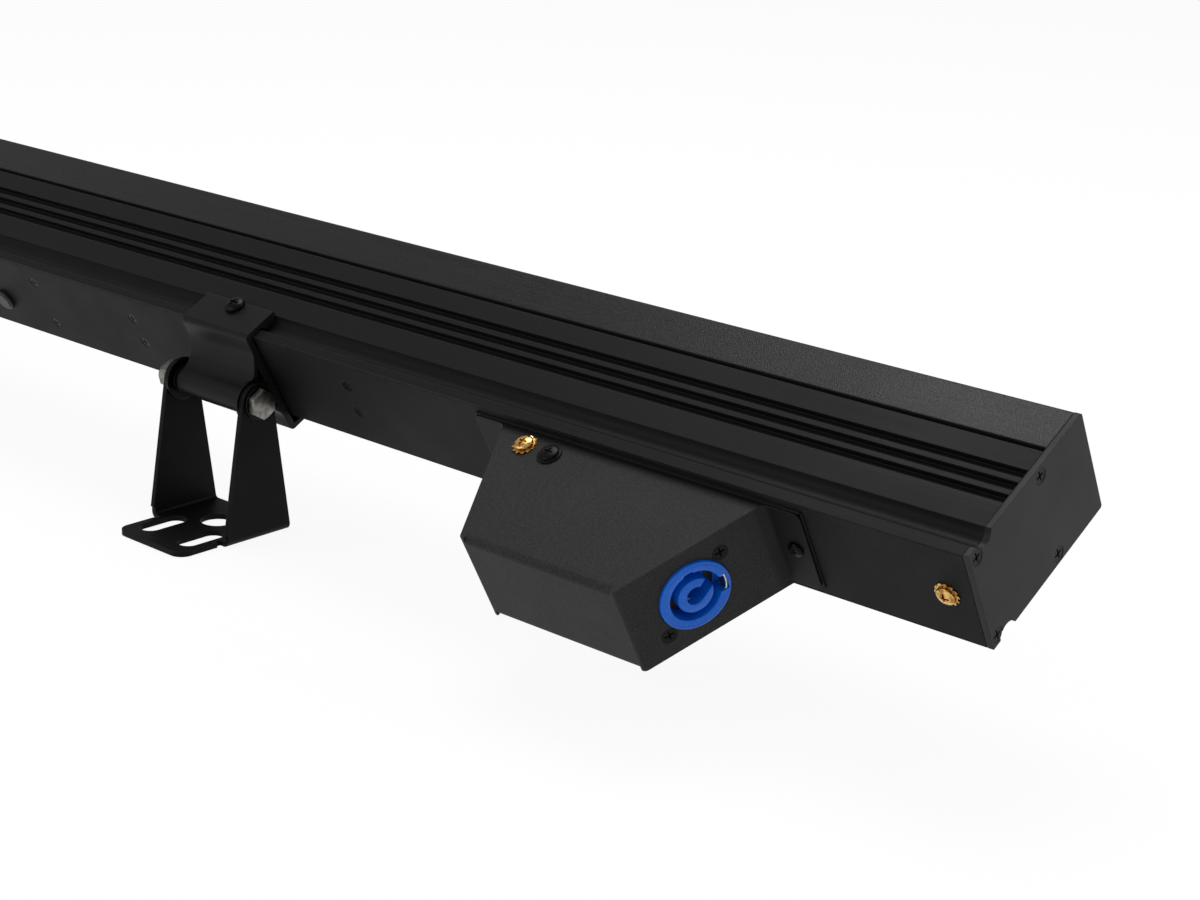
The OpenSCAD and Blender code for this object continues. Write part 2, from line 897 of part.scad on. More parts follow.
// signal socket with holes: ring, round insert with three holes, release tab in a slot
module hole_socket() {
  difference() {
    connector_shell(9.7, 12, 1);
    translate([-2.5, 8.5, -11.4]) cube([5, 2.8, 20]);
  }
  difference() {
    translate([0, 0, -11.9]) cylinder(r = 8, h = 11.3);
    for (a = [30, 150, 270]) {
      rotate([0, 0, a]) translate([0, 4.6, -9]) cylinder(r = 1.4, h = 20);
    }
  }
  translate([-2.4, 8.6, -11.3]) cube([4.8, 2.6, 12.9]);
}

// turns children to the inner slanted panel of a box
module inner_panel() {
  mirror([1, 0, 0]) on_slant() children();
}

module power_inlet() {
  color("#1a50b8") at_box(1) on_slant() power_socket();
}

module power_outlet() {
  color("#c9ccd0") at_box(-1) on_slant() power_socket();
}

module power_contacts() {
  color("#c8cacc") for (side = [1, -1]) {
    at_box(side) on_slant() {
      power_latch();
      power_blade();
    }
  }
}

module signal_inlet() {
  color("#202123") at_box(1) inner_panel() pin_socket();
}

module signal_inlet_pins() {
  color("#c8cacc") at_box(1) inner_panel() signal_pins();
}

module signal_outlet() {
  color("#202123") at_box(-1) inner_panel() hole_socket();
}

module connector_screws() {
  color("#1d1e20") for (side = [1, -1]) {
    at_box(side) both_ends() on_slant() at_connector_screws() countersunk_screw(1.5, 2.9, 7);
  }
}

// Clamps

// upper half of the clamp's tapered back, drawn behind the bar from the barrel's centre
// line: x behind the rear face, y across the bar
module clamp_skin_half() {
  slope = 29;
  down = [sin(slope), -cos(slope)];
  out = [cos(slope), sin(slope)];
  barrel = [pivot_behind, 0];
  bend = [clamp_outer, ((pivot_behind - clamp_outer) * cos(slope) - clamp_fall) / sin(slope)];
  bend_run = bend_radius * tan(slope / 2);
  top = bend + [0, bend_run];
  low = bend + down * bend_run;
  fillet = 2;
  reach = barrel_radius + fillet;
  base = bend + out * fillet - barrel;
  b = base * down;
  along = -b - sqrt(b * b - base * base + reach * reach);
  centre = barrel + base + down * along;
  first = slope + 180;
  last = atan2(barrel[1] - centre[1], barrel[0] - centre[0]) + 360;
  steps = 10;
  hollow_arc = [for (i = [0:steps]) let (a = first + (last - first) * i / steps)
    centre + (i < steps ? fillet : fillet + 0.3) * [cos(a), sin(a)]];
  void_in = clamp_outer + 0.3;
  void_wall = clamp_fall + 1.6;
  void_top = ((pivot_behind - void_in) * cos(slope) - void_wall) / sin(slope);
  void_radius = barrel_radius + 0.2;
  rib = 2.6;
  void_floor = pivot_behind - sqrt(void_radius * void_radius - rib * rib);
  void_corner = barrel - out * void_wall
    - down * sqrt(void_radius * void_radius - void_wall * void_wall);
  difference() {
    polygon(concat(
      [[clamp_gap + 1, top[1]], [clamp_gap + 1, -1], [pivot_behind, -1]],
      [for (i = [steps:-1:0]) hollow_arc[i]],
      [low, top]
    ));
    intersection() {
      translate(top + [bend_radius, 0]) circle(bend_radius);
      polygon([top, bend, low]);
    }
    polygon([[void_in, void_top], [void_in, rib], [void_floor, rib], void_corner]);
  }
}

// cross section of the clamp: back, two flanges with round hooks, tapered barrel
module clamp_outline() {
  upper = half_width + slide_clearance;
  lower = upper + clamp_slack;
  difference() {
    union() {
      rounded_outline([
        [-clamp_outer, -lower - clamp_flange],
        [clamp_reach, -lower - clamp_flange],
        [clamp_reach, -lower],
        [-clamp_gap, -lower],
        [-clamp_gap, upper],
        [clamp_reach, upper],
        [clamp_reach, upper + clamp_flange],
        [-clamp_outer, upper + clamp_flange]
      ], [2, 0.9, 0.6, 0, 0, 0.6, 0.9, 2]);
      intersection() {
        translate([bead_behind, bead_w]) circle(bead_radius);
        square([50, 2 * (upper + clamp_flange / 2)], center = true);
      }
      translate([bead_behind, -bead_w]) circle(bead_radius);
      translate([bead_behind - 2.4, -lower - 0.5]) square([4.8, lower + 0.5 - bead_w]);
      mirror([1, 0]) translate([0, pivot_w]) both_sides_flat() clamp_skin_half();
      translate([-pivot_behind, pivot_w]) circle(barrel_radius);
    }
    translate([-pivot_behind, pivot_w]) circle(bolt_radius + bore_clearance);
  }
}

module clamp_body() {
  difference() {
    along_bar(clamp_length) clamp_outline();
    translate([0, clamp_screw_behind, half_width - 6]) cylinder(r = 2 + screw_clearance, h = 12);
  }
}

// black cross head screw that presses on the channel's bottom, shown backed off
module clamp_screw() {
  tip = 0.6;
  edge = clamp_screw_behind + tip - channel_behind;
  floor_w = channel_w - sqrt(channel_radius * channel_radius - edge * edge);
  length = clamp_top - floor_w - slide_clearance;
  translate([0, clamp_screw_behind, clamp_top]) {
    pan_screw(2, 3.9, 2.5, length - 1.4);
    translate([0, 0, -length]) cylinder(r1 = tip, r2 = 2, h = 1.4);
  }
}

module clamp_right() {
  color("#1e1f21") in_bar() translate([clamp_x, 0, 0]) clamp_body();
}

module clamp_left() {
  color("#1e1f21") in_bar() translate([-clamp_x, 0, 0]) mirror([1, 0, 0]) clamp_body();
}

module clamp_screw_right() {
  color("#161718") in_bar() translate([clamp_x, 0, 0]) clamp_screw();
}

module clamp_screw_left() {
  color("#161718") in_bar() translate([-clamp_x, 0, 0]) clamp_screw();
}

// Feet

// side view of a leg: round top about the tilt axis, straight edges down to the base
module leg_outline() {
  span = norm([leg_foot, pivot_height]);
  a = acos(leg_radius / span) - atan2(pivot_height, leg_foot);
  touch_y = leg_radius * cos(a);
  touch_z = pivot_height + leg_radius * sin(a);
  polygon([[-leg_foot, 0], [leg_foot, 0], [touch_y, touch_z], [-touch_y, touch_z]]);
  translate([0, pivot_height]) circle(leg_radius);
}

// front view of the folded sheet: base and two upright legs
module fold_outline() {
  top = pivot_height + leg_radius + 2;
  rounded_outline([
    [-leg_outer, 0],
    [leg_outer, 0],
    [leg_outer, top],
    [leg_inner, top],
    [leg_inner, foot_sheet],
    [-leg_inner, foot_sheet],
    [-leg_inner, top],
    [-leg_outer, top]
  ], [foot_sheet + 1.2, foot_sheet + 1.2, 0, 0, 1.2, 1.2, 0, 0]);
}

module slot_outline() {
  reach = (slot_length - slot_width) / 2;
  square([slot_width, 2 * reach], center = true);
  translate([0, reach]) circle(slot_width / 2);
  translate([0, -reach]) circle(slot_width / 2);
}

module foot() {
  relief = 1.4;
  difference() {
    union() {
      intersection() {
        rotate([90, 0, 0]) linear_extrude(height = 100, center = true) fold_outline();
        rotate([90, 0, 90]) linear_extrude(height = 100, center = true) leg_outline();
      }
      linear_extrude(height = foot_sheet) rounded_outline([
        [-tongue_half, -foot_reach],
        [tongue_half, -foot_reach],
        [tongue_half, relief - leg_foot],
        [-tongue_half, relief - leg_foot]
      ], [5, 5, 0, 0]);
    }
    both_ends() {
      translate([tongue_half - 1.2, -leg_foot - 1, -1])
        cube([10, relief + 1, foot_sheet + 4]);
      translate([slot_apart, -slot_forward, -1])
        linear_extrude(height = foot_sheet + 2) slot_outline();
    }
    translate([0, -1, -1]) cylinder(r = foot_hole, h = foot_sheet + 2);
    translate([0, 0, pivot_height])
      rotate([0, 90, 0]) cylinder(r = bolt_radius + 0.25, h = 100, center = true);
  }
}

// hexagon of the bolt head and the nut, across the flats
module hexagon(height) {
  cylinder(r = key_width / 2 / cos(30), h = height, $fn = 6);
}

// tilt bolt along x, head on the outer side of the bracket
module tilt_bolt() {
  seat = leg_outer + washer_sheet;
  translate([0, 0, pivot_height]) rotate([0, 90, 0]) {
    translate([0, 0, -seat - nut_height - 1.1])
      cylinder(r = bolt_radius, h = 2 * seat + nut_height + 1.1);
    translate([0, 0, seat]) hexagon(bolt_head);
  }
}

// flat ring from z = 0 upwards with room for the tilt bolt
module bolt_ring(radius, sheet) {
  difference() {
    cylinder(r = radius, h = sheet);
    translate([0, 0, -1]) cylinder(r = bolt_radius + 0.2, h = sheet + 2);
  }
}

// washers outside both legs, a thin washer and a flanged bush between the legs and the clamp
module tilt_washers() {
  flange = 1.2;
  translate([0, 0, pivot_height]) rotate([0, 90, 0]) {
    for (x = [leg_outer, -leg_outer - washer_sheet]) {
      translate([0, 0, x]) bolt_ring(washer_radius, washer_sheet);
    }
    translate([0, 0, leg_inner - thin_washer]) bolt_ring(inner_washer_radius, thin_washer);
    translate([0, 0, -leg_inner]) {
      bolt_ring(inner_washer_radius, flange);
      bolt_ring(barrel_radius - 0.6, bush);
    }
  }
}

module lock_nut() {
  seat = leg_outer + washer_sheet;
  translate([0, 0, pivot_height]) rotate([0, -90, 0]) translate([0, 0, seat]) difference() {
    union() {
      hexagon(nut_height - 1.4);
      cylinder(r = key_width / 2 - 0.4, h = nut_height);
    }
    translate([0, 0, -1]) cylinder(r = bolt_radius + screw_clearance, h = nut_height + 2);
  }
}

// places children at the right or, mirrored, at the left foot
module at_foot(side) {
  if (side > 0) {
    translate([foot_x, 0, 0]) children();
  } else {
    mirror([1, 0, 0]) translate([foot_x, 0, 0]) children();
  }
}

module foot_right() {
  color("#1c1d1f") at_foot(1) foot();
}

module foot_left() {
  color("#1c1d1f") at_foot(-1) foot();
}

module tilt_bolt_right() {
  color("#b9bcc0") at_foot(1) tilt_bolt();
}

module tilt_bolt_left() {
  color("#b9bcc0") at_foot(-1) tilt_bolt();
}

module tilt_washers_right() {
  color("#c4c6c9") at_foot(1) tilt_washers();
}

module tilt_washers_left() {
  color("#c4c6c9") at_foot(-1) tilt_washers();
}

module lock_nut_right() {
  color("#b9bcc0") at_foot(1) lock_nut();
}

module lock_nut_left() {
  color("#b9bcc0") at_foot(-1) lock_nut();
}

profile();
rear_cover();
cover_straps();
board_screws_flush();
board_spacers();
driver_boards();
driver_parts();
vent_plug();
end_plate_right();
end_plate_left();
end_gaskets();
end_plate_screws();
front_rail_upper();
front_rail_lower();
front_glass();
glass_gasket();
led_board();
leds();
lens_strip();
box_right();
box_left();
box_flange_screws();
cheek_screws();
ground_screws();
ground_washers();
cable_grommets();
power_inlet();
power_outlet();
power_contacts();
signal_inlet();
signal_inlet_pins();
signal_outlet();
connector_screws();
clamp_right();
clamp_left();
clamp_screw_right();
clamp_screw_left();
foot_right();
foot_left();
tilt_bolt_right();
tilt_bolt_left();
tilt_washers_right();
tilt_washers_left();
lock_nut_right();
lock_nut_left();
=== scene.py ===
import json
import math

import bmesh
import bpy
from mathutils import Euler, Matrix, Vector

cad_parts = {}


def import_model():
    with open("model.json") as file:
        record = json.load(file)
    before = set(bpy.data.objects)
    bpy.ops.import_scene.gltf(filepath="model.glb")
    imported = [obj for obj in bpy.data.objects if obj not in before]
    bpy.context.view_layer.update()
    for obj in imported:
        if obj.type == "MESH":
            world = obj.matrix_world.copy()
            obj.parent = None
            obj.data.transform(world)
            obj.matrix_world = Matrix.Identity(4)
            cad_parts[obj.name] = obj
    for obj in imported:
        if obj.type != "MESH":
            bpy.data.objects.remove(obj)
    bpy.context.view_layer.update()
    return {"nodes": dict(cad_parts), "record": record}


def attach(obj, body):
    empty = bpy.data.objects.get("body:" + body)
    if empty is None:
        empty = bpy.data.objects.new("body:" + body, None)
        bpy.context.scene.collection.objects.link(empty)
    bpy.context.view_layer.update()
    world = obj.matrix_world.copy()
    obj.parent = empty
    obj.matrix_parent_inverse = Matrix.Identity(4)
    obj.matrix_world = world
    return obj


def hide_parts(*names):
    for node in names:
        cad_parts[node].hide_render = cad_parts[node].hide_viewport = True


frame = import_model()

# Measures of the bar

# Blender's unit is the metre, and the measures here are in millimetres. The bar's own frame
# has X along the bar, Y from its rear face towards its light side and Z out of its upper
# side. A depth is a place along that Y, and across one along that Z.

MM = 0.001
TILT = math.radians(29)
PIVOT_HEIGHT = 53
PIVOT_BEHIND = 12.4
PIVOT_ACROSS = -1.45
BAR = (
    Matrix.Translation((0, 0, PIVOT_HEIGHT * MM))
    @ Matrix.Rotation(TILT, 4, "X")
    @ Matrix.Translation((0, PIVOT_BEHIND * MM, -PIVOT_ACROSS * MM))
)
MIRROR = Matrix.Scale(-1, 4, (1, 0, 0))

# Right half of the bar, which the left half mirrors. Board screws are (x, (across, across)).
BAR_END = 500
END_SCREW_DEPTHS = (3.2, 38.5)
END_SCREW_ACROSS = 15.95
END_GROUND_X = 488.5
BOARD_SCREWS = ((57, (10.5, -10.5)), (118, (7.5, -4.5)), (239, (7.5, -4.5)))

# Right connector box. The screws on its cheek are (x from the box's middle, depth).
BOX_X = 373.5
BOX_ACROSS = -1.6
BOX_END = 66.9
BOX_SHEET = 1.5
BOX_FLANGE_SCREW = 61.7
CHEEK = 15.9
CHEEK_GROUND = (-39.2, -7.3)
CHEEK_SCREW = (-27.8, -7.9)
SLANT = math.atan2(49.4, 22.2)
SLANT_FOOT = 54.2
SOCKET_UP_SLANT = 31
SOCKET_SCREWS = (12, 9.5)
BORE_OPENING = math.radians(35)

# Right clamp and foot
CLAMP_X = 177.5
CLAMP_TOP = 21.45
CLAMP_SCREW_DEPTH = 9.2
BARREL_RADIUS = 5.6
FOOT_X = 176.3
BOLT_SEAT = 23.3
M6_FLATS = 10

# Thickness of the washers, and how far the flush screws' faces lie above their panel
WASHER = 0.6
FLUSH = -0.2


# Materials

def colour(text):
    """Linear RGBA of an sRGB hex colour."""
    parts = [int(text[i:i + 2], 16) / 255 for i in (1, 3, 5)]
    return (*[c / 12.92 if c <= 0.04045 else ((c + 0.055) / 1.055) ** 2.4 for c in parts], 1.0)


def add(tree, kind, inputs=(), **settings):
    """Adds a node, sets its attributes and fills its inputs with values or links."""
    node = tree.nodes.new(kind)
    for name, value in settings.items():
        setattr(node, name, value)
    for name, value in dict(inputs).items():
        if isinstance(value, bpy.types.NodeSocket):
            tree.links.new(value, node.inputs[name])
        else:
            node.inputs[name].default_value = value
    return node


def material(name, **sockets):
    """New material: its tree, its shader and the object's own coordinates."""
    made = bpy.data.materials.new(name)
    made.use_nodes = True
    tree = made.node_tree
    tree.nodes.clear()
    values = {key.replace("_", " "): value for key, value in sockets.items()}
    shader = add(tree, "ShaderNodeBsdfPrincipled", values)
    add(tree, "ShaderNodeOutputMaterial", {"Surface": shader.outputs[0]})
    place = add(tree, "ShaderNodeTexCoord").outputs["Object"]
    return made, tree, shader, place


def surface(tree, shader, tone, spread, bump):
    """Links a finish's colour, roughness and relief to its shader."""
    tree.links.new(tone, shader.inputs["Base Color"])
    tree.links.new(spread.outputs[0], shader.inputs["Roughness"])
    tree.links.new(bump.outputs["Normal"], shader.inputs["Normal"])


def layered(tree, base, *coats):
    """A base colour with other colours laid over it, each by its share from 0 to 1."""
    tone = colour(base)
    for share, over in coats:
        tone = add(tree, "ShaderNodeMix", {"Factor": share, "A": tone, "B": colour(over)},
                   data_type="RGBA").outputs["Result"]
    return tone


def worn_and_lit_corners(tree, rounded, most):
    """0 on flat faces, rising to most along corners, where a surface is thin and rubbed; the
    pale colour laid there is also a painted highlight.
    """
    flat = add(tree, "ShaderNodeNewGeometry")
    turn = add(tree, "ShaderNodeVectorMath", {0: rounded, 1: flat.outputs["Normal"]},
               operation="DOT_PRODUCT")
    return add(tree, "ShaderNodeMapRange",
               {"Value": turn.outputs["Value"], "From Min": 0.75, "From Max": 0.98,
                "To Min": most, "To Max": 0.0}).outputs["Result"]


def dust(tree, place, spacing, size):
    """Sparse pale lint specks: 1 inside a speck."""
    cells = add(tree, "ShaderNodeTexVoronoi", {"Vector": place, "Scale": 1 / (spacing * MM)})
    speck = add(tree, "ShaderNodeMapRange",
                {"Value": cells.outputs["Distance"], "From Min": 0.5 * size / spacing,
                 "From Max": size / spacing, "To Min": 1.0, "To Max": 0.0})
    some = add(tree, "ShaderNodeMath", {0: cells.outputs["Color"], 1: 0.62},
               operation="GREATER_THAN")
    return add(tree, "ShaderNodeMath", {0: speck.outputs["Result"], 1: some.outputs[0]},
               operation="MULTIPLY").outputs[0]


def near_rear_face(tree, place):
    """1 up to 2 mm behind the bar's rear face, falling to 0 at 5 mm: the share of the painted
    shade on the boxes' flanges.
    """
    along = add(tree, "ShaderNodeVectorMath", {0: place, 1: BAR.col[1].to_3d()},
                operation="DOT_PRODUCT")
    rear = BAR.translation.dot(BAR.col[1].to_3d())
    return add(tree, "ShaderNodeMapRange",
               {"Value": along.outputs["Value"], "From Min": rear - 5 * MM,
                "From Max": rear - 2 * MM}).outputs["Result"]


def powder_coat(name, base, light, rough, grain=0.5, depth=0.012, level=0.3, painted_shade=None):
    """Black polyester powder coat on sheet and extrusions. The baked powder leaves a fine
    orange peel, so the shine is broad, and lint shows pale. Corners catch a soft line of light
    from their rounded normals and from a paler colour, which is partly rubbed wear and partly
    painted highlight. A painted shade colour darkens the flanges that lie on the bar's rear
    face."""
    made, tree, shader, place = material(name, IOR=1.5, Specular_IOR_Level=level)
    rounded = add(tree, "ShaderNodeBevel", {"Radius": 0.45 * MM}, samples=6).outputs["Normal"]
    peel = add(tree, "ShaderNodeTexNoise",
               {"Vector": place, "Scale": 1 / (grain * MM), "Detail": 2.0, "Roughness": 0.6})
    cloud = add(tree, "ShaderNodeTexNoise",
                {"Vector": place, "Scale": 1 / (22 * MM), "Detail": 3.0})
    sand = add(tree, "ShaderNodeMapRange",
               {"Value": peel.outputs["Fac"], "From Min": 0.35, "From Max": 0.65})
    coats = [(sand.outputs["Result"], light)]
    # Painted shade: the flanges next to the bar's rear face are darkened.
    if painted_shade:
        coats.append((near_rear_face(tree, place), painted_shade))
    # Paler along corners: partly rubbed wear, partly painted highlight.
    coats.append((worn_and_lit_corners(tree, rounded, most=0.35), "#4a4a4a"))
    coats.append((dust(tree, place, spacing=9.0, size=0.22), "#5c5c5a"))
    spread = add(tree, "ShaderNodeMapRange",
                 {"Value": cloud.outputs["Fac"], "From Min": 0.3, "From Max": 0.7,
                  "To Min": rough - 0.04, "To Max": rough + 0.04})
    bump = add(tree, "ShaderNodeBump", {"Height": peel.outputs["Fac"], "Normal": rounded,
                                        "Distance": depth * MM, "Strength": 1.0})
    surface(tree, shader, layered(tree, base, *coats), spread, bump)
    return made


def extruded(name, base, light, rough, lines_deep=0.004, level=0.4, width=1.1, sandy=0.006):
    """Black anodised aluminium extrusion. The press leaves lines along the bar, so the sheen
    is drawn out in streaks, and cut ends and ridges are painted paler, partly as rubbed wear
    and partly as painted highlight. A sandy grain, deeper on the rails, breaks the sheen up."""
    made, tree, shader, place = material(name, IOR=1.5, Specular_IOR_Level=level)
    rounded = add(tree, "ShaderNodeBevel", {"Radius": 0.3 * MM}, samples=6).outputs["Normal"]
    # Real lines and grit are too fine to show, so they are drawn as coarse as they need to be.
    along_bar = (1 / (140 * MM), 1 / (width * MM), 1 / (width * MM))
    stretched = add(tree, "ShaderNodeMapping", {"Vector": place, "Scale": along_bar})
    lines = add(tree, "ShaderNodeTexNoise",
                {"Vector": stretched.outputs["Vector"], "Scale": 1.0, "Detail": 4.0,
                 "Roughness": 0.75})
    grit = add(tree, "ShaderNodeTexNoise",
               {"Vector": place, "Scale": 1 / (0.45 * MM), "Detail": 1.0})
    patch = add(tree, "ShaderNodeTexNoise",
                {"Vector": place, "Scale": 1 / (38 * MM), "Detail": 4.0})
    # Paler along corners: partly rubbed wear, partly painted highlight.
    tone = layered(tree, base, (lines.outputs["Fac"], light),
                   (worn_and_lit_corners(tree, rounded, most=0.45), "#606060"),
                   (dust(tree, place, spacing=8.0, size=0.2), "#5c5c5a"))
    streaks = add(tree, "ShaderNodeMapRange",
                  {"Value": lines.outputs["Fac"], "From Min": 0.3, "From Max": 0.7,
                   "To Min": rough - 0.05, "To Max": rough + 0.05})
    drift = add(tree, "ShaderNodeMapRange",
                {"Value": patch.outputs["Fac"], "From Min": 0.3, "From Max": 0.7,
                 "To Min": -0.04, "To Max": 0.04})
    spread = add(tree, "ShaderNodeMath", {0: streaks.outputs["Result"],
                                          1: drift.outputs["Result"]}, operation="ADD")
    ridges = add(tree, "ShaderNodeBump", {"Height": lines.outputs["Fac"], "Normal": rounded,
                                          "Distance": lines_deep * MM, "Strength": 1.0})
    bump = add(tree, "ShaderNodeBump",
               {"Height": grit.outputs["Fac"], "Normal": ridges.outputs["Normal"],
                "Distance": sandy * MM, "Strength": 1.0})
    surface(tree, shader, tone, spread, bump)
    return made


def metal(name, base, dull, rough, grain=0.4, deep=0.01, corner=0.15, turned=False):
    """Bare or plated metal. Rolling leaves fine marks and handling leaves duller patches; a
    turned piece has fine rings about the tilt axis instead of marks."""
    made, tree, shader, place = material(name, Metallic=1.0)
    rounded = add(tree, "ShaderNodeBevel", {"Radius": corner * MM}, samples=6).outputs["Normal"]
    # Real marks and rings are too fine to show, so they are drawn as coarse as they need to be.
    marks = add(tree, "ShaderNodeTexNoise",
                {"Vector": place, "Scale": 1 / (grain * MM), "Detail": 3.0})
    patch = add(tree, "ShaderNodeTexNoise",
                {"Vector": place, "Scale": 1 / (1.6 * MM), "Detail": 3.0})
    share = add(tree, "ShaderNodeMapRange",
                {"Value": patch.outputs["Fac"], "From Min": 0.42, "From Max": 0.62})
    spread = add(tree, "ShaderNodeMapRange",
                 {"Value": marks.outputs["Fac"], "From Min": 0.3, "From Max": 0.7,
                  "To Min": rough - 0.08, "To Max": rough + 0.1})
    height = marks.outputs["Fac"]
    if turned:
        centred = add(tree, "ShaderNodeMapping",
                      {"Vector": place, "Location": (0, 0, -PIVOT_HEIGHT * MM)})
        height = add(tree, "ShaderNodeTexWave",
                     {"Vector": centred.outputs["Vector"], "Scale": 0.3 / (0.45 * MM),
                      "Distortion": 0.6, "Detail": 1.0},
                     wave_type="RINGS", rings_direction="X").outputs["Fac"]
    bump = add(tree, "ShaderNodeBump", {"Height": height, "Normal": rounded,
                                        "Distance": deep * MM, "Strength": 0.6})
    tone = layered(tree, base, (share.outputs["Result"], dull))
    surface(tree, shader, tone, spread, bump)
    return made


def plastic(name, base, pale, rough, grain=0.3, corner=0.25, level=0.5):
    """Moulded or cast plastic, resin or rubber. The polished mould leaves it nearly smooth, and
    a paler colour along its corners is partly wear and partly painted highlight."""
    made, tree, shader, place = material(name, IOR=1.5, Specular_IOR_Level=level)
    rounded = add(tree, "ShaderNodeBevel", {"Radius": corner * MM}, samples=6).outputs["Normal"]
    # The mould's real grain is too fine to show, so it is drawn as coarse as it needs to be.
    skin = add(tree, "ShaderNodeTexNoise",
               {"Vector": place, "Scale": 1 / (grain * MM), "Detail": 2.0})
    flow = add(tree, "ShaderNodeTexNoise",
               {"Vector": place, "Scale": 1 / (5 * MM), "Detail": 2.0})
    drift = add(tree, "ShaderNodeMath", {0: flow.outputs["Fac"], 1: 0.25},
                operation="MULTIPLY")
    # Paler along corners, partly wear and partly painted highlight, and where the tone drifts.
    share = add(tree, "ShaderNodeMath", {0: worn_and_lit_corners(tree, rounded, most=0.5),
                                         1: drift.outputs[0]}, operation="MAXIMUM")
    spread = add(tree, "ShaderNodeMapRange",
                 {"Value": skin.outputs["Fac"], "From Min": 0.3, "From Max": 0.7,
                  "To Min": rough - 0.04, "To Max": rough + 0.05})
    bump = add(tree, "ShaderNodeBump", {"Height": skin.outputs["Fac"], "Normal": rounded,
                                        "Distance": 0.004 * MM, "Strength": 0.6})
    surface(tree, shader, layered(tree, base, (share.outputs[0], pale)), spread, bump)
    return made


def clear(name, base, ior, rough):
    """Clear glass or acrylic: light passes and the surface stays polished."""
    made, tree, shader, place = material(name, Base_Color=colour(base), IOR=ior,
                                         Transmission_Weight=1.0)
    haze = add(tree, "ShaderNodeTexNoise",
               {"Vector": place, "Scale": 1 / (17 * MM), "Detail": 2.0})
    spread = add(tree, "ShaderNodeMapRange",
                 {"Value": haze.outputs["Fac"], "To Min": rough, "To Max": rough + 0.03})
    tree.links.new(spread.outputs["Result"], shader.inputs["Roughness"])
    return made


# The finned profile keeps its press skin under the anodising: dull and nearly black.
PROFILE = extruded("black_anodised_aluminium_extrusion", "#0d0d0d", "#181818", 0.46,
                   level=0.065)
# The front rails are brushed before anodising, which gives them a soft grey sheen.
RAIL = extruded("brushed_black_anodised_rail", "#161616", "#252525", 0.3, lines_deep=0.006,
                level=0.1, width=1.4, sandy=0.1)
# Coated sheet is matt: plain black on the cover, greyer on the boxes and end plates.
COVER = powder_coat("black_powder_coated_cover_sheet", "#111111", "#1c1c1c", 0.55, level=0.07)
# The boxes' sheet has a painted shade on its flanges next to the bar's rear face.
SHEET = powder_coat("black_powder_coated_box_sheet", "#191919", "#2b2b2b", 0.55, level=0.14,
                    painted_shade="#070707")
END_SHEET = powder_coat("black_powder_coated_end_plate", "#151515", "#202020", 0.48,
                        level=0.15)
# The clamp's coat is the smoothest, so its round parts catch light; the foot's is darkest.
CLAMP = powder_coat("black_powder_coated_clamp", "#0e0e0e", "#181818", 0.42, level=0.1)
FOOT = powder_coat("black_powder_coated_foot", "#090909", "#121213", 0.5, level=0.07)
# Black oxide on steel looks like a very thin coat: close to black, with a small highlight.
BLACK_STEEL = powder_coat("black_oxide_screw_steel", "#020202", "#070707", 0.3, grain=0.4,
                          level=0.1)
# Zinc plate on turned steel is a dull warm grey, and its end faces keep their rings.
ZINC = metal("zinc_plated_steel", "#85837f", "#6a6764", 0.34, turned=True)
# Brass is left bare, so it is bright yellow with browner patches.
BRASS = metal("plain_brass", "#e0b56f", "#9c6f34", 0.24, deep=0.05)
# Nickel plated strip is the brightest metal here.
RAW_STEEL = metal("nickel_plated_spring_steel", "#cfcbc4", "#a8a49c", 0.25)
# Polyamide from a polished mould has a strong even colour and a clear gloss.
BLUE = plastic("blue_moulded_polyamide", "#005ac6", "#1672de", 0.26, level=0.28)
GREY = plastic("light_grey_moulded_polyamide", "#c4c7ca", "#dfe1e3", 0.34)
# Moulded ABS is a satin black, and moulded rubber hardly shines.
BLACK_PLASTIC = plastic("black_moulded_abs", "#0e0e0e", "#232323", 0.42, level=0.35)
RUBBER = plastic("black_moulded_rubber", "#0a0a0a", "#161616", 0.7, level=0.25)
# Moulded nylon without pigment is a warm white.
NYLON = plastic("natural_nylon_ring", "#d8d4c8", "#e8e5db", 0.4)
# Solder mask is a thin even varnish with a soft shine, white or green.
BOARD_WHITE = plastic("white_solder_mask", "#e6e6e1", "#f0f0ec", 0.45)
BOARD_GREEN = plastic("green_solder_mask", "#1f5c30", "#2b7040", 0.4)
# Potting resin is a dull dark grey; phosphor resin cast over a chip is a glossy yellow.
PART_DARK = plastic("potted_component_epoxy", "#2a2c2f", "#3c3e42", 0.5)
LED = plastic("cast_phosphor_resin", "#f2d87c", "#f7e59c", 0.3)
# Tempered glass has a trace of green; moulded acrylic is clearer and reflects less.
GLASS = clear("clear_tempered_glass", "#f4faf9", 1.52, 0.01)
LENS = clear("clear_moulded_acrylic", "#fbfdfd", 1.49, 0.02)

BY_SLOT = {
    "profile_black": PROFILE, "sheet_black": SHEET, "clamp_black": CLAMP, "foot_black": FOOT,
    "rail_satin": RAIL, "zinc_steel": ZINC, "black_steel": BLACK_STEEL, "brass": BRASS,
    "blue_plastic": BLUE, "grey_plastic": GREY, "black_plastic": BLACK_PLASTIC,
    "black_rubber": RUBBER, "front_glass": GLASS, "lens_clear": LENS,
    "board_white": BOARD_WHITE, "board_green": BOARD_GREEN, "part_dark": PART_DARK,
    "led_yellow": LED, "raw_steel": RAW_STEEL,
}
# Nodes that share the boxes' slot but have a coat of their own
BY_NODE = {"end_plate_right": END_SHEET, "end_plate_left": END_SHEET, "rear_cover": COVER}

for part in frame["record"]["subparts"]:
    node = part["node"]
    slots = frame["nodes"][node].data.materials
    slots.clear()
    slots.append(BY_NODE.get(node, BY_SLOT[part["material_slot"]]))


# Ways of working a shape

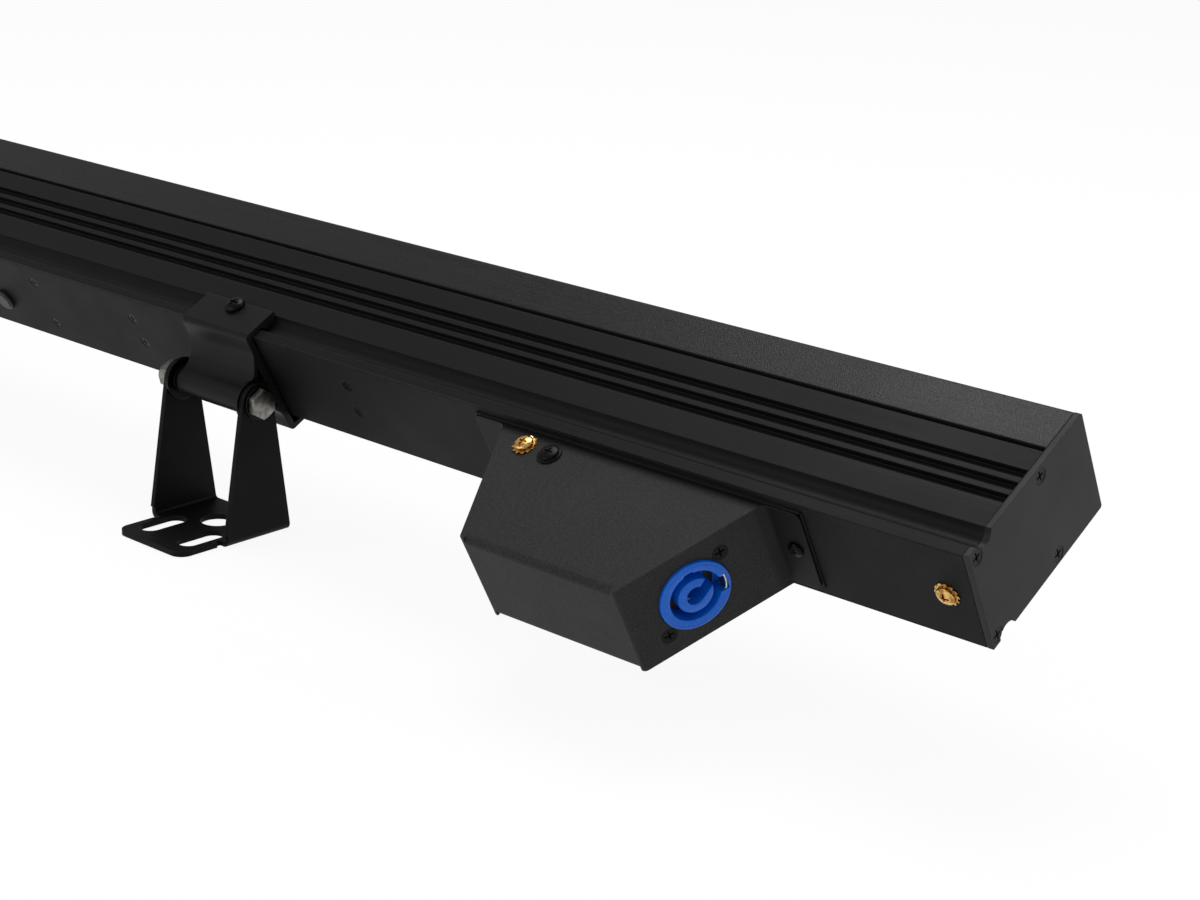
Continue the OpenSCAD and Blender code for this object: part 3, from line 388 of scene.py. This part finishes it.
def lathe(outline, steps=48):
    """Turned solid about Z from (radius, height) points."""
    made = bmesh.new()
    row = [made.verts.new((r, 0, z)) for r, z in outline]
    edges = [made.edges.new(pair) for pair in zip(row, row[1:])]
    bmesh.ops.spin(made, geom=row + edges, cent=(0, 0, 0), axis=(0, 0, 1),
                   angle=2 * math.pi, steps=steps, use_merge=True)
    bmesh.ops.remove_doubles(made, verts=made.verts, dist=0.0005)
    bmesh.ops.recalc_face_normals(made, faces=made.faces)
    return made


def block(low, high):
    """Box between two corners."""
    made = bmesh.new()
    corners = bmesh.ops.create_cube(made, size=1)["verts"]
    bmesh.ops.scale(made, verts=corners, vec=[h - l for l, h in zip(low, high)])
    bmesh.ops.translate(made, verts=corners, vec=[(l + h) / 2 for l, h in zip(low, high)])
    return made


def combine(body, tool, operation):
    """Cuts or meets two solids; both are used up."""
    pair = []
    for shape in (body, tool):
        mesh = bpy.data.meshes.new("blank")
        shape.to_mesh(mesh)
        shape.free()
        made = bpy.data.objects.new("blank", mesh)
        bpy.context.scene.collection.objects.link(made)
        pair.append(made)
    cut = pair[0].modifiers.new("cut", "BOOLEAN")
    cut.operation = operation
    cut.solver = "EXACT"
    cut.object = pair[1]
    result = bmesh.new()
    result.from_object(pair[0], bpy.context.evaluated_depsgraph_get())
    for made in pair:
        mesh = made.data
        bpy.data.objects.remove(made)
        bpy.data.meshes.remove(mesh)
    return result


def join(first, second):
    """Adds the second solid to the first one's mesh and frees it."""
    mesh = bpy.data.meshes.new("blank")
    second.to_mesh(mesh)
    second.free()
    first.from_mesh(mesh)
    bpy.data.meshes.remove(mesh)
    return first


def spun(shape, angle, axis="Z", verts=None):
    """Turns a shape, or some of its corners, about an axis through the origin."""
    bmesh.ops.rotate(shape, verts=verts or shape.verts, cent=(0, 0, 0),
                     matrix=Matrix.Rotation(angle, 3, axis))
    return shape


def piece(name, shape, places, finish, body, node=None):
    """One object with a copy of a shape at each place, riding on its body. It takes the
    place of a CAD node where one is named."""
    blank = bpy.data.meshes.new("blank")
    shape.to_mesh(blank)
    shape.free()
    whole = bmesh.new()
    for place in places:
        start = len(whole.verts)
        whole.from_mesh(blank)
        whole.verts.ensure_lookup_table()
        copy = whole.verts[start:]
        bmesh.ops.transform(whole, matrix=place @ Matrix.Scale(MM, 4), verts=copy)
        if place.determinant() < 0:
            turned = {face for vert in copy for face in vert.link_faces}
            bmesh.ops.reverse_faces(whole, faces=list(turned))
    for face in whole.faces:
        face.smooth = True
    for edge in whole.edges:
        edge.smooth = edge.calc_face_angle(0.0) < math.radians(35)
    mesh = bpy.data.meshes.new(name)
    whole.to_mesh(mesh)
    whole.free()
    bpy.data.meshes.remove(blank)
    made = bpy.data.objects.new(name, mesh)
    bpy.context.scene.collection.objects.link(made)
    mesh.materials.append(finish)
    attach(made, body)
    if node:
        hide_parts(node)


# Screws, bolt and nut

def cross_cut(head, reach, depth, top):
    """Presses a cross recess with tapered wings into a screw head."""
    for turn in (0, math.pi / 2):
        wing = bmesh.new()
        made = bmesh.ops.create_cube(wing, size=1)["verts"]
        bmesh.ops.translate(wing, verts=made, vec=(0, 0, 0.5))
        bmesh.ops.scale(wing, verts=made, vec=(2 * reach, 0.38 * reach, depth + 1))
        floor_corners = [v for v in made if v.co.z < 0.1]
        bmesh.ops.scale(wing, verts=floor_corners, vec=(0.45, 0.55, 1))
        spun(wing, turn, verts=made)
        bmesh.ops.translate(wing, verts=made, vec=(0, 0, top - depth))
        head = combine(head, wing, "DIFFERENCE")
    return head


def pan_screw(shank, head, height, length, point=0.0):
    """Pan head screw with a cross recess, seat at z = 0, its end turned to a blunt point.
    Shank and head are radii."""
    dome = [(head * math.sin(math.radians(a)), height * (0.4 + 0.6 * math.cos(math.radians(a))))
            for a in range(0, 91, 10)]
    body = lathe([*dome, (head, 0.12), (head - 0.12, 0), (shank, 0), (shank, point - length),
                  (shank - point, -length), (0, -length)])
    return cross_cut(body, head * 0.78, height * 0.62, height)


def flush_screw(shank, head, length):
    """Countersunk screw with a cross recess, face at z = 0. Shank and head are radii."""
    body = lathe([(0, 0), (head - 0.08, 0), (head, -0.08), (shank, shank - head),
                  (shank, -length), (0, -length)])
    return cross_cut(body, head * 0.84, head * 0.42, 0)


def flat_ring(inner, outer, sheet, edge=0.1):
    """Washer on z = 0 with slightly rolled corners."""
    return lathe([(inner, 0), (outer - edge, 0), (outer, edge), (outer, sheet - edge),
                  (outer - edge, sheet), (inner, sheet), (inner, 0)])


def cheek_screw():
    """M4 pan head screw that stands on its washer."""
    screw = pan_screw(shank=2, head=3.4, height=1.3, length=8)
    bmesh.ops.translate(screw, verts=screw.verts, vec=(0, 0, WASHER))
    return join(screw, flat_ring(inner=2.05, outer=4.2, sheet=WASHER))


def star_washer(inner, outer, sheet, teeth=12):
    """Lock washer with outer teeth that narrow to their tips and are bent out of the plane."""
    rim, low, high = outer - 0.62, 0.05, sheet - 0.05
    ring = lathe([(inner, low), (rim, low), (rim, high), (inner, high), (inner, low)])
    for i in range(teeth):
        tooth = bmesh.new()
        made = bmesh.ops.create_cube(tooth, size=1)["verts"]
        bmesh.ops.scale(tooth, verts=made, vec=(1.0, 1.45, 0.3))
        tip = [v for v in made if v.co.x > 0]
        bmesh.ops.scale(tooth, verts=tip, vec=(1, 0.72, 1))
        spun(tooth, math.radians(13), "X", made)
        bmesh.ops.translate(tooth, verts=made, vec=(outer - 0.5, 0, sheet / 2))
        spun(tooth, math.radians(360 / teeth * i), verts=made)
        ring = join(ring, tooth)
    return ring


def hex_block(flats, height, both=False):
    """Hexagon bar from z = 0 with its corners turned off at 30 degrees on top, or both ends."""
    hexagon = bmesh.new()
    across = flats / 2 / math.cos(math.pi / 6)
    made = bmesh.ops.create_cone(hexagon, cap_ends=True, segments=6, radius1=across,
                                 radius2=across, depth=height)["verts"]
    spun(hexagon, math.pi / 2, verts=made)
    bmesh.ops.translate(hexagon, verts=made, vec=(0, 0, height / 2))
    flat, wide = flats / 2 - 0.25, flats / 2 + 1.5
    drop = (wide - flat) * math.tan(math.pi / 6)
    low = [(0, 0), (flat, 0), (wide, drop)] if both else [(0, 0), (wide, 0)]
    turned = lathe([*low, (wide, height - drop), (flat, height), (0, height)], steps=96)
    return combine(hexagon, turned, "INTERSECT")


def tilt_bolt():
    """M6 hexagon bolt along +Z, head seat at z = 0, 10 turns of thread at its far end."""
    head = hex_block(M6_FLATS, 3)
    thread = [(3.0 - 0.3 * (i % 2), -43 - i * 0.5) for i in range(20)]
    shank = lathe([(0, 0.4), (3.0, 0.4), *thread, (2.4, -53.7), (0, -53.7)], steps=32)
    return join(head, shank)


def lock_nut():
    """M6 hexagon nut with a rounded collar, seat at z = 0."""
    bore = lathe([(0, -1), (3.06, -1), (3.06, 6), (0, 6)], steps=32)
    nut = combine(hex_block(M6_FLATS, 4.6, both=True), bore, "DIFFERENCE")
    collar = lathe([(3.75, 4.3), (4.7, 4.3), (4.7, 5.1), (4.5, 5.7), (4.1, 6.0), (3.75, 6.0),
                    (3.75, 4.3)])
    return join(nut, collar)


def nylon_ring():
    """Ring inside the lock nut's collar that grips the thread."""
    return lathe([(3.02, 4.7), (3.74, 4.7), (3.74, 5.7), (3.02, 5.85), (3.02, 4.7)])


# Sockets, painted shadow strips and clamp

def power_socket():
    """Ring with rounded rims, a key slot and a latch notch, and a round core whose bore opens
    to one side; z = 0 is the panel's outer face."""
    ring = lathe([(8.75, -15), (11.2, -15), (11.2, -3.5), (12.2, -3.5), (12.2, 0.5),
                  (12.05, 0.82), (11.75, 0.97), (11.3, 1.0), (11.1, 0.86), (10.9, 1.0),
                  (9.3, 1.0), (8.95, 0.85), (8.75, 0.5), (8.75, -15)], steps=64)
    key_slot = block((-1.6, 7, -9), (1.6, 9.5, 5))
    latch_notch = block((7, -4, -5), (10.8, 2, 5))
    ring = combine(combine(ring, key_slot, "DIFFERENCE"), latch_notch, "DIFFERENCE")
    core = lathe([(0, -12.9), (6.15, -12.9), (6.15, 0.4), (6.0, 0.75), (5.65, 0.92),
                  (3.2, 0.92), (3.05, 0.6), (3.05, -6), (0, -6)], steps=64)
    opening = spun(block((0, -3.2, -6), (10, 0.75, 5)), BORE_OPENING)
    return join(ring, combine(core, opening, "DIFFERENCE"))


def socket_floor():
    """Black insert between the socket's ring and core."""
    return lathe([(6.2, -13), (8.7, -13), (8.7, -5.5), (6.2, -5.5), (6.2, -13)])


def spring_clip():
    """Thin steel clip that follows the ring in the latch notch, its ends turned inwards, and
    the curved contact in the core's bore."""
    clip = lathe([(10.3, -4.9), (10.75, -4.9), (10.75, 0.7), (10.3, 0.7), (10.3, -4.9)],
                 steps=96)
    clip = combine(clip, block((7, -3.95, -6), (12, 1.95, 2)), "INTERSECT")
    for low, high in ((-3.95, -3.5), (1.5, 1.95)):
        clip = join(clip, block((9.2, low, -4.9), (10.2, high, 0.6)))
    contact = lathe([(2.4, -6), (2.95, -6), (2.95, -1.4), (2.4, -1.4), (2.4, -6)])
    return join(clip, combine(contact, block((-4, -2, -7), (0, 2, 0)), "INTERSECT"))


def shadow_gap_strip():
    """Black strip that paints the shadow of the narrow gap along a box's upper cheek and its
    flanges as a dark line, in the bar's own frame at the box's middle."""
    seal = block((-BOX_END, -0.9, CHEEK), (BOX_END, 0, CHEEK + 0.55))
    for low, high in ((-BOX_END - 0.5, -BOX_END), (BOX_END, BOX_END + 0.5)):
        seal = join(seal, block((low, -0.6, -CHEEK), (high, 0, CHEEK)))
    return seal


def clamp_hollow():
    """Round hollow that leads the clamp's skin into its barrel, above and below the tilt axis,
    which is at the origin along X. Its rims are sunk slightly into skin and barrel."""
    radius, half, sunk, lap, steps = 7.0, 17.98, 0.03, 1.2, 16
    skin_end = Vector((7.75, 11.91))
    down = Vector((-math.sin(TILT), -math.cos(TILT)))
    out = Vector((-math.cos(TILT), math.sin(TILT)))
    start = skin_end + radius * out
    fall = start.dot(down)
    along = -fall - math.sqrt(fall ** 2 - start.dot(start) + (BARREL_RADIUS + radius) ** 2)
    centre = start + along * down
    first = math.atan2(-out.y, -out.x)
    last = math.atan2(-centre.y, -centre.x)
    arc = [centre + radius * Vector((math.cos(a), math.sin(a)))
           for a in (first + (last - first) * i / steps for i in range(steps + 1))]
    in_skin = arc[0] - lap * down - sunk * out
    turn = math.atan2(centre.y, centre.x)
    in_barrel = [(BARREL_RADIUS - sunk) * Vector((math.cos(a), math.sin(a)))
                 for a in (turn + math.radians(step) for step in (6, 12))]
    inside = [(-0.9, 4.5), (1.2, 4.35), (3.8, 4.65), (5.4, 6.35), (6.5, 8.45)]
    outline = (in_skin, *arc, *in_barrel, *inside)
    made = bmesh.new()
    for side in (1, -1):
        face = made.faces.new([made.verts.new((-half, y, side * z)) for y, z in outline])
        grown = bmesh.ops.extrude_face_region(made, geom=[face])["geom"]
        moved = [item for item in grown if isinstance(item, bmesh.types.BMVert)]
        bmesh.ops.translate(made, verts=moved, vec=(2 * half, 0, 0))
    bmesh.ops.recalc_face_normals(made, faces=made.faces)
    return made


# Places on the bar

def on_top(x, depth, across):
    """Place on the bar whose +Z looks out of the upper side."""
    return BAR @ Matrix.Translation(Vector((x, depth, across)) * MM)


def on_rear(x, depth, across):
    """Place on the bar whose +Z looks out of the rear face."""
    return on_top(x, depth, across) @ Matrix.Rotation(math.pi / 2, 4, "X")


def on_end(depth, across):
    """Place on the right end plate whose +Z looks along the bar."""
    return on_top(BAR_END, depth, across) @ Matrix.Rotation(math.pi / 2, 4, "Y")


def on_slant(side, along, across):
    """Place on an outer (1) or inner (-1) slanted panel of the right box: +Z looks out of the
    panel, and a place along it counts towards the bar."""
    slant = Matrix.Rotation(SLANT, 4, "Z") @ Matrix.Rotation(math.pi / 2, 4, "X")
    up = SOCKET_UP_SLANT * Vector((-math.cos(SLANT), -math.sin(SLANT), 0))
    turn = (Matrix.Translation((Vector((SLANT_FOOT, 0, 0)) + up) * MM) @ slant
            @ Matrix.Translation(Vector((along, across, 0)) * MM))
    if side < 0:
        turn = MIRROR @ turn @ MIRROR
    return on_top(BOX_X, 0, BOX_ACROSS) @ turn


def on_bolt(x, side):
    """Place on the tilt axis whose +Z looks outwards along X."""
    return (Matrix.Translation(Vector((x * MM, 0, PIVOT_HEIGHT * MM)))
            @ Matrix.Rotation(side * math.pi / 2, 4, "Y"))


def raised(places, height):
    """The places moved out along their own Z."""
    return [place @ Matrix.Translation((0, 0, height * MM)) for place in places]


def both_ends(places):
    """The places and their mirror images at the bar's left end."""
    return [*places, *[MIRROR @ place for place in places]]


GROUNDS = [on_rear(END_GROUND_X, 0, 0),
           *both_ends([on_top(BOX_X + CHEEK_GROUND[0], CHEEK_GROUND[1], CHEEK)])]
CHEEK_BLACK = both_ends([on_top(BOX_X + CHEEK_SCREW[0], CHEEK_SCREW[1], CHEEK)])
FLANGES = both_ends([on_rear(BOX_X + end * BOX_FLANGE_SCREW, -BOX_SHEET, 0)
                     for end in (1, -1)])
PANELS = both_ends([on_slant(panel, corner * SOCKET_SCREWS[0], corner * SOCKET_SCREWS[1])
                    for panel in (1, -1) for corner in (1, -1)])
END_PLATES = both_ends([on_end(depth, side * END_SCREW_ACROSS)
                        for depth in END_SCREW_DEPTHS for side in (1, -1)])
BOARDS = both_ends([on_rear(x, 0, across) for x, pair in BOARD_SCREWS for across in pair])
SOCKET = on_slant(1, 0, 0)

piece("brass_ground_screws", pan_screw(shank=2, head=3.3, height=1.8, length=8),
      raised(GROUNDS, WASHER), BRASS, "bar", "ground_screws")
piece("brass_star_washers", star_washer(inner=2.1, outer=4.25, sheet=WASHER), GROUNDS, BRASS,
      "bar", "ground_washers")
piece("black_cheek_screws", cheek_screw(), CHEEK_BLACK, BLACK_STEEL, "bar",
      "cheek_screws")
piece("black_flange_screws", pan_screw(shank=1.5, head=2.7, height=1.6, length=9.5), FLANGES,
      BLACK_STEEL, "bar", "box_flange_screws")
piece("black_panel_screws", flush_screw(shank=1.5, head=2.9, length=7),
      raised(PANELS, FLUSH), BLACK_STEEL, "bar", "connector_screws")
piece("black_end_screws", flush_screw(shank=1.5, head=2.8, length=12),
      raised(END_PLATES, FLUSH), BLACK_STEEL, "bar", "end_plate_screws")
piece("black_board_screws", flush_screw(shank=1.25, head=2.3, length=6),
      raised(BOARDS, FLUSH), BLACK_STEEL, "bar", "board_screws_flush")
# Black strips paint the shadow in the gap along each box's cheek and flanges.
piece("painted_shadow_gap_strips", shadow_gap_strip(), both_ends([on_top(BOX_X, 0, 0)]), RUBBER, "bar")
piece("spring_clips", spring_clip(), both_ends([SOCKET]), RAW_STEEL, "bar",
      "power_contacts")
piece("blue_power_socket", power_socket(), [SOCKET], BLUE, "bar",
      "power_inlet")
piece("grey_power_socket", power_socket(), [MIRROR @ SOCKET], GREY, "bar",
      "power_outlet")
piece("socket_floors", socket_floor(), both_ends([SOCKET]), BLACK_PLASTIC, "bar")
for side, name in ((1, "right"), (-1, "left")):
    clamp, foot = "clamp_" + name, "foot_" + name
    bolt_seat = on_bolt(side * (FOOT_X + BOLT_SEAT), side)
    nut_seat = on_bolt(side * (FOOT_X - BOLT_SEAT), -side)
    piece("clamp_hollow_" + name, clamp_hollow(),
          [on_top(side * CLAMP_X, -PIVOT_BEHIND, PIVOT_ACROSS)], CLAMP, clamp)
    piece("black_clamp_screw_" + name,
          pan_screw(shank=2, head=3.9, height=2.5, length=4.42, point=1.4),
          [on_top(side * CLAMP_X, CLAMP_SCREW_DEPTH, CLAMP_TOP)], BLACK_STEEL, clamp,
          "clamp_screw_" + name)
    piece("hexagon_bolt_" + name, tilt_bolt(), [bolt_seat], ZINC, foot,
          "tilt_bolt_" + name)
    piece("hexagon_nut_" + name, lock_nut(), [nut_seat], ZINC, foot,
          "lock_nut_" + name)
    piece("nylon_ring_" + name, nylon_ring(), [nut_seat], NYLON, foot)


# Floor, light and camera

def floor_finish():
    """White paper floor: it shows white and keeps a soft shadow of the object."""
    made, tree, shader, _ = material("white_studio_paper", Base_Color=colour("#f4f4f4"),
                                     Roughness=0.9)
    path = add(tree, "ShaderNodeLightPath")
    seen = add(tree, "ShaderNodeMath", {0: path.outputs["Is Camera Ray"],
                                        1: path.outputs["Is Glossy Ray"]}, operation="MAXIMUM")
    seen = add(tree, "ShaderNodeMath", {0: seen.outputs[0],
                                        1: path.outputs["Is Transmission Ray"]},
               operation="MAXIMUM")
    share = add(tree, "ShaderNodeMath", {0: seen.outputs[0], 1: 0.92}, operation="MULTIPLY")
    white = add(tree, "ShaderNodeEmission", {"Color": (1, 1, 1, 1), "Strength": 1.0})
    both = add(tree, "ShaderNodeMixShader", {0: share.outputs[0], 1: shader.outputs[0],
                                             2: white.outputs[0]})
    out = next(n for n in tree.nodes if n.type == "OUTPUT_MATERIAL")
    tree.links.new(both.outputs[0], out.inputs["Surface"])
    return made


def floor():
    """Wide plain floor just under the feet."""
    ground = bmesh.new()
    bmesh.ops.create_grid(ground, x_segments=1, y_segments=1, size=6.0)
    bmesh.ops.translate(ground, verts=ground.verts, vec=(0, 0, -0.4 * MM))
    mesh = bpy.data.meshes.new("studio_floor")
    ground.to_mesh(mesh)
    ground.free()
    made = bpy.data.objects.new("studio_floor", mesh)
    bpy.context.scene.collection.objects.link(made)
    mesh.materials.append(floor_finish())


def world():
    """Even pale room; the camera sees plain white."""
    made = bpy.data.worlds.new("studio")
    bpy.context.scene.world = made
    made.use_nodes = True
    tree = made.node_tree
    tree.nodes.clear()
    path = add(tree, "ShaderNodeLightPath")
    seen = add(tree, "ShaderNodeMath", {0: path.outputs["Is Camera Ray"],
                                        1: path.outputs["Is Transmission Ray"]},
               operation="MAXIMUM")
    room = add(tree, "ShaderNodeBackground", {"Color": (1, 1, 1, 1), "Strength": 0.45})
    white = add(tree, "ShaderNodeBackground", {"Color": (1, 1, 1, 1), "Strength": 1.0})
    both = add(tree, "ShaderNodeMixShader", {0: seen.outputs[0], 1: room.outputs[0],
                                             2: white.outputs[0]})
    add(tree, "ShaderNodeOutputWorld", {"Surface": both.outputs[0]})


def softbox(name, place, aim, size, watts):
    """Rectangular softbox that looks at a point, all in metres."""
    light = bpy.data.lights.new(name, "AREA")
    light.shape = "RECTANGLE"
    light.size, light.size_y = size
    light.energy = watts
    made = bpy.data.objects.new(name, light)
    made.location = place
    made.rotation_euler = (Vector(aim) - Vector(place)).to_track_quat("-Z", "Y").to_euler()
    bpy.context.scene.collection.objects.link(made)


def camera():
    """The photograph's camera, solved from the bar's own edges."""
    lens = bpy.data.cameras.new("photo_camera")
    lens.lens = 70.02
    lens.sensor_width = 36.0
    lens.clip_start = 0.01
    made = bpy.data.objects.new("photo_camera", lens)
    made.location = (0.820126, -0.531930, 0.305670)
    made.rotation_euler = Euler([math.radians(a) for a in (71.8025, -2.1475, 41.3755)], "XYZ")
    bpy.context.scene.collection.objects.link(made)
    bpy.context.scene.camera = made


floor()
world()
softbox("softbox_above", (0.0, 0.35, 1.4), (0.2, 0.0, 0.05), (0.8, 0.8), 13)
softbox("softbox_front", (-0.4, -1.5, 0.9), (0.2, 0.0, 0.05), (1.2, 0.9), 9)
softbox("softbox_end", (1.6, 0.9, 0.7), (0.45, 0.0, 0.1), (0.8, 0.8), 9)
camera()
bpy.context.scene.view_settings.view_transform = "Standard"
